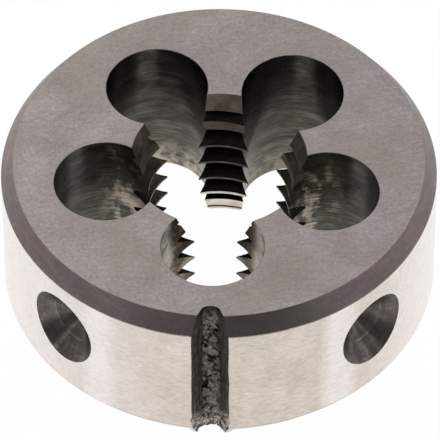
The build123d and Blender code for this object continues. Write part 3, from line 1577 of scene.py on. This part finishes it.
@dataclass(frozen=True)
class Studio:
    """A white sweep under soft light, a little darker towards the lens and overhead.

    Attributes:
        floor_half: Half the floor's width, in metres.
        floor_drop: How far below the die it lies, in metres.
        floor_colour: Its colour, as sRGB.
        floor_glow: Part of its look that the lens and the metal see as plain white.
        paper_dim: How a reflection of it dims with distance from the die, in metres.
        sky: How bright the room is.
        shades: Darker sides of the room: the way there, and how it darkens that way.
        side_boxes: The lamps at the die's back and side.
        front_names: Names of the two lamps in front.
        front_turns: Degrees from the front at which they hang.
        front_powers: Their powers, in watts.
        front_lift: How high they hang, in degrees.
        front_distance: How far away they hang, in metres.
        front_size: Their side, in metres.
    """

    floor_half: float = 3.0
    floor_drop: float = 2e-5
    floor_colour: str = "#F4F3F1"
    floor_glow: float = 0.98
    paper_dim: Fade = Fade(0.12, 0.25, 1.0, 0.3)
    sky: float = 0.88
    shades: tuple[tuple[tuple[float, float, float], Fade], ...] = (
        ((0.0, -0.95, 0.31), Fade(-0.5, 1.0, 1.0, 0.2)),
        ((0.0, -0.33, 0.94), Fade(0.75, 1.0, 1.0, 0.6)),
    )
    side_boxes: tuple[SoftBox, ...] = (
        SoftBox("soft_box_left", (-0.17, 0.25, 0.3), 0.22, 0.12),
        SoftBox("soft_box_right", (0.95, 0.2, 0.8), 0.6, 1.2),
    )
    front_names: tuple[str, str] = ("front_box_left", "front_box_right")
    front_turns: tuple[float, float] = (-49.5, 54.5)
    front_powers: tuple[float, float] = (0.09, 0.072)
    front_lift: float = 28.0
    front_distance: float = 0.6
    front_size: float = 0.1

    def build(self) -> None:
        """Makes the floor, the world and the lamps."""
        self.floor()
        self.world()
        for box in (*self.side_boxes, *self.front_boxes()):
            box.hang()
        bpy.context.scene.view_settings.view_transform = "Standard"

    def front_boxes(self) -> list[SoftBox]:
        """Places the two lamps in front.

        Returns:
            Both of them.
        """
        lift = math.radians(self.front_lift)
        across, height = self.front_distance * math.cos(lift), self.front_distance * math.sin(lift)
        boxes = []
        for name, turn, power in zip(self.front_names, self.front_turns, self.front_powers):
            azimuth = math.radians(turn)
            place = (across * math.sin(azimuth), -across * math.cos(azimuth), height)
            boxes.append(SoftBox(name, place, self.front_size, power))
        return boxes

    def floor(self) -> None:
        """Lays the floor a hair below the die, so that it takes the die's soft shadow."""
        half, level = self.floor_half, -self.floor_drop
        corners = [(-half, -half, level), (half, -half, level), (half, half, level), (-half, half, level)]
        mesh = bpy.data.meshes.new("floor")
        mesh.from_pydata(corners, [], [(0, 1, 2, 3)])
        material = bpy.data.materials.new("white_paper_sweep")
        material.use_nodes = True
        tree = material.node_tree
        tree.nodes.clear()
        path = add_node(tree, "LightPath")
        lens, metal = path.outputs["Is Camera Ray"], path.outputs["Is Glossy Ray"]
        place = add_node(tree, "TexCoord").outputs["Object"]
        away = add_node(tree, "VectorMath", {0: place}, operation="LENGTH")
        near = add_node(tree, "MapRange", self.paper_dim.of(away))
        bright = add_node(tree, "Math", {0: lens, 1: near}, operation="MAXIMUM")
        seen = add_node(tree, "Math", {0: lens, 1: metal}, operation="MAXIMUM")
        mix = {
            "Fac": add_node(tree, "Math", {0: seen, 1: self.floor_glow}, operation="MULTIPLY"),
            1: add_node(tree, "BsdfDiffuse", {"Color": linear(self.floor_colour)}),
            2: add_node(tree, "Emission", {"Color": WHITE, "Strength": bright}),
        }
        add_node(tree, "OutputMaterial", {"Surface": add_node(tree, "MixShader", mix)})
        mesh.materials.append(material)
        floor = bpy.data.objects.new("floor", mesh)
        bpy.context.scene.collection.objects.link(floor)

    def world(self) -> None:
        """Surrounds the set with soft light, and shows plain white behind it."""
        world = bpy.data.worlds.new("soft_room")
        world.use_nodes = True
        tree = world.node_tree
        tree.nodes.clear()
        direction = add_node(tree, "TexCoord").outputs["Generated"]
        level: Source | float = self.sky
        for towards, shade in self.shades:
            facing = add_node(tree, "VectorMath", {0: direction, 1: towards}, operation="DOT_PRODUCT")
            darker = add_node(tree, "MapRange", shade.of(facing))
            level = add_node(tree, "Math", {0: level, 1: darker}, operation="MULTIPLY")
        mix = {
            "Fac": add_node(tree, "LightPath").outputs["Is Camera Ray"],
            1: add_node(tree, "Background", {"Color": WHITE, "Strength": level}),
            2: add_node(tree, "Background", {"Color": WHITE, "Strength": 1.0}),
        }
        add_node(tree, "OutputWorld", {"Surface": add_node(tree, "MixShader", mix)})
        bpy.context.scene.world = world


def report(piece: bpy.types.Object) -> None:
    """Logs a piece's name, face count and size."""
    size = " x ".join(f"{side / MM:.2f}" for side in piece.dimensions)
    LOG.info("%s: %d faces, %s mm", piece.name, len(piece.data.polygons), size)


def main() -> None:
    """Builds the die and the studio in order."""
    logging.basicConfig(level=logging.INFO, format="%(name)s %(message)s")
    noise.seed_set(NOISE_SEED)
    Viewpoint().build()
    ThreadingDie().build()
    Studio().build()


if __name__ == "__main__":
    main()
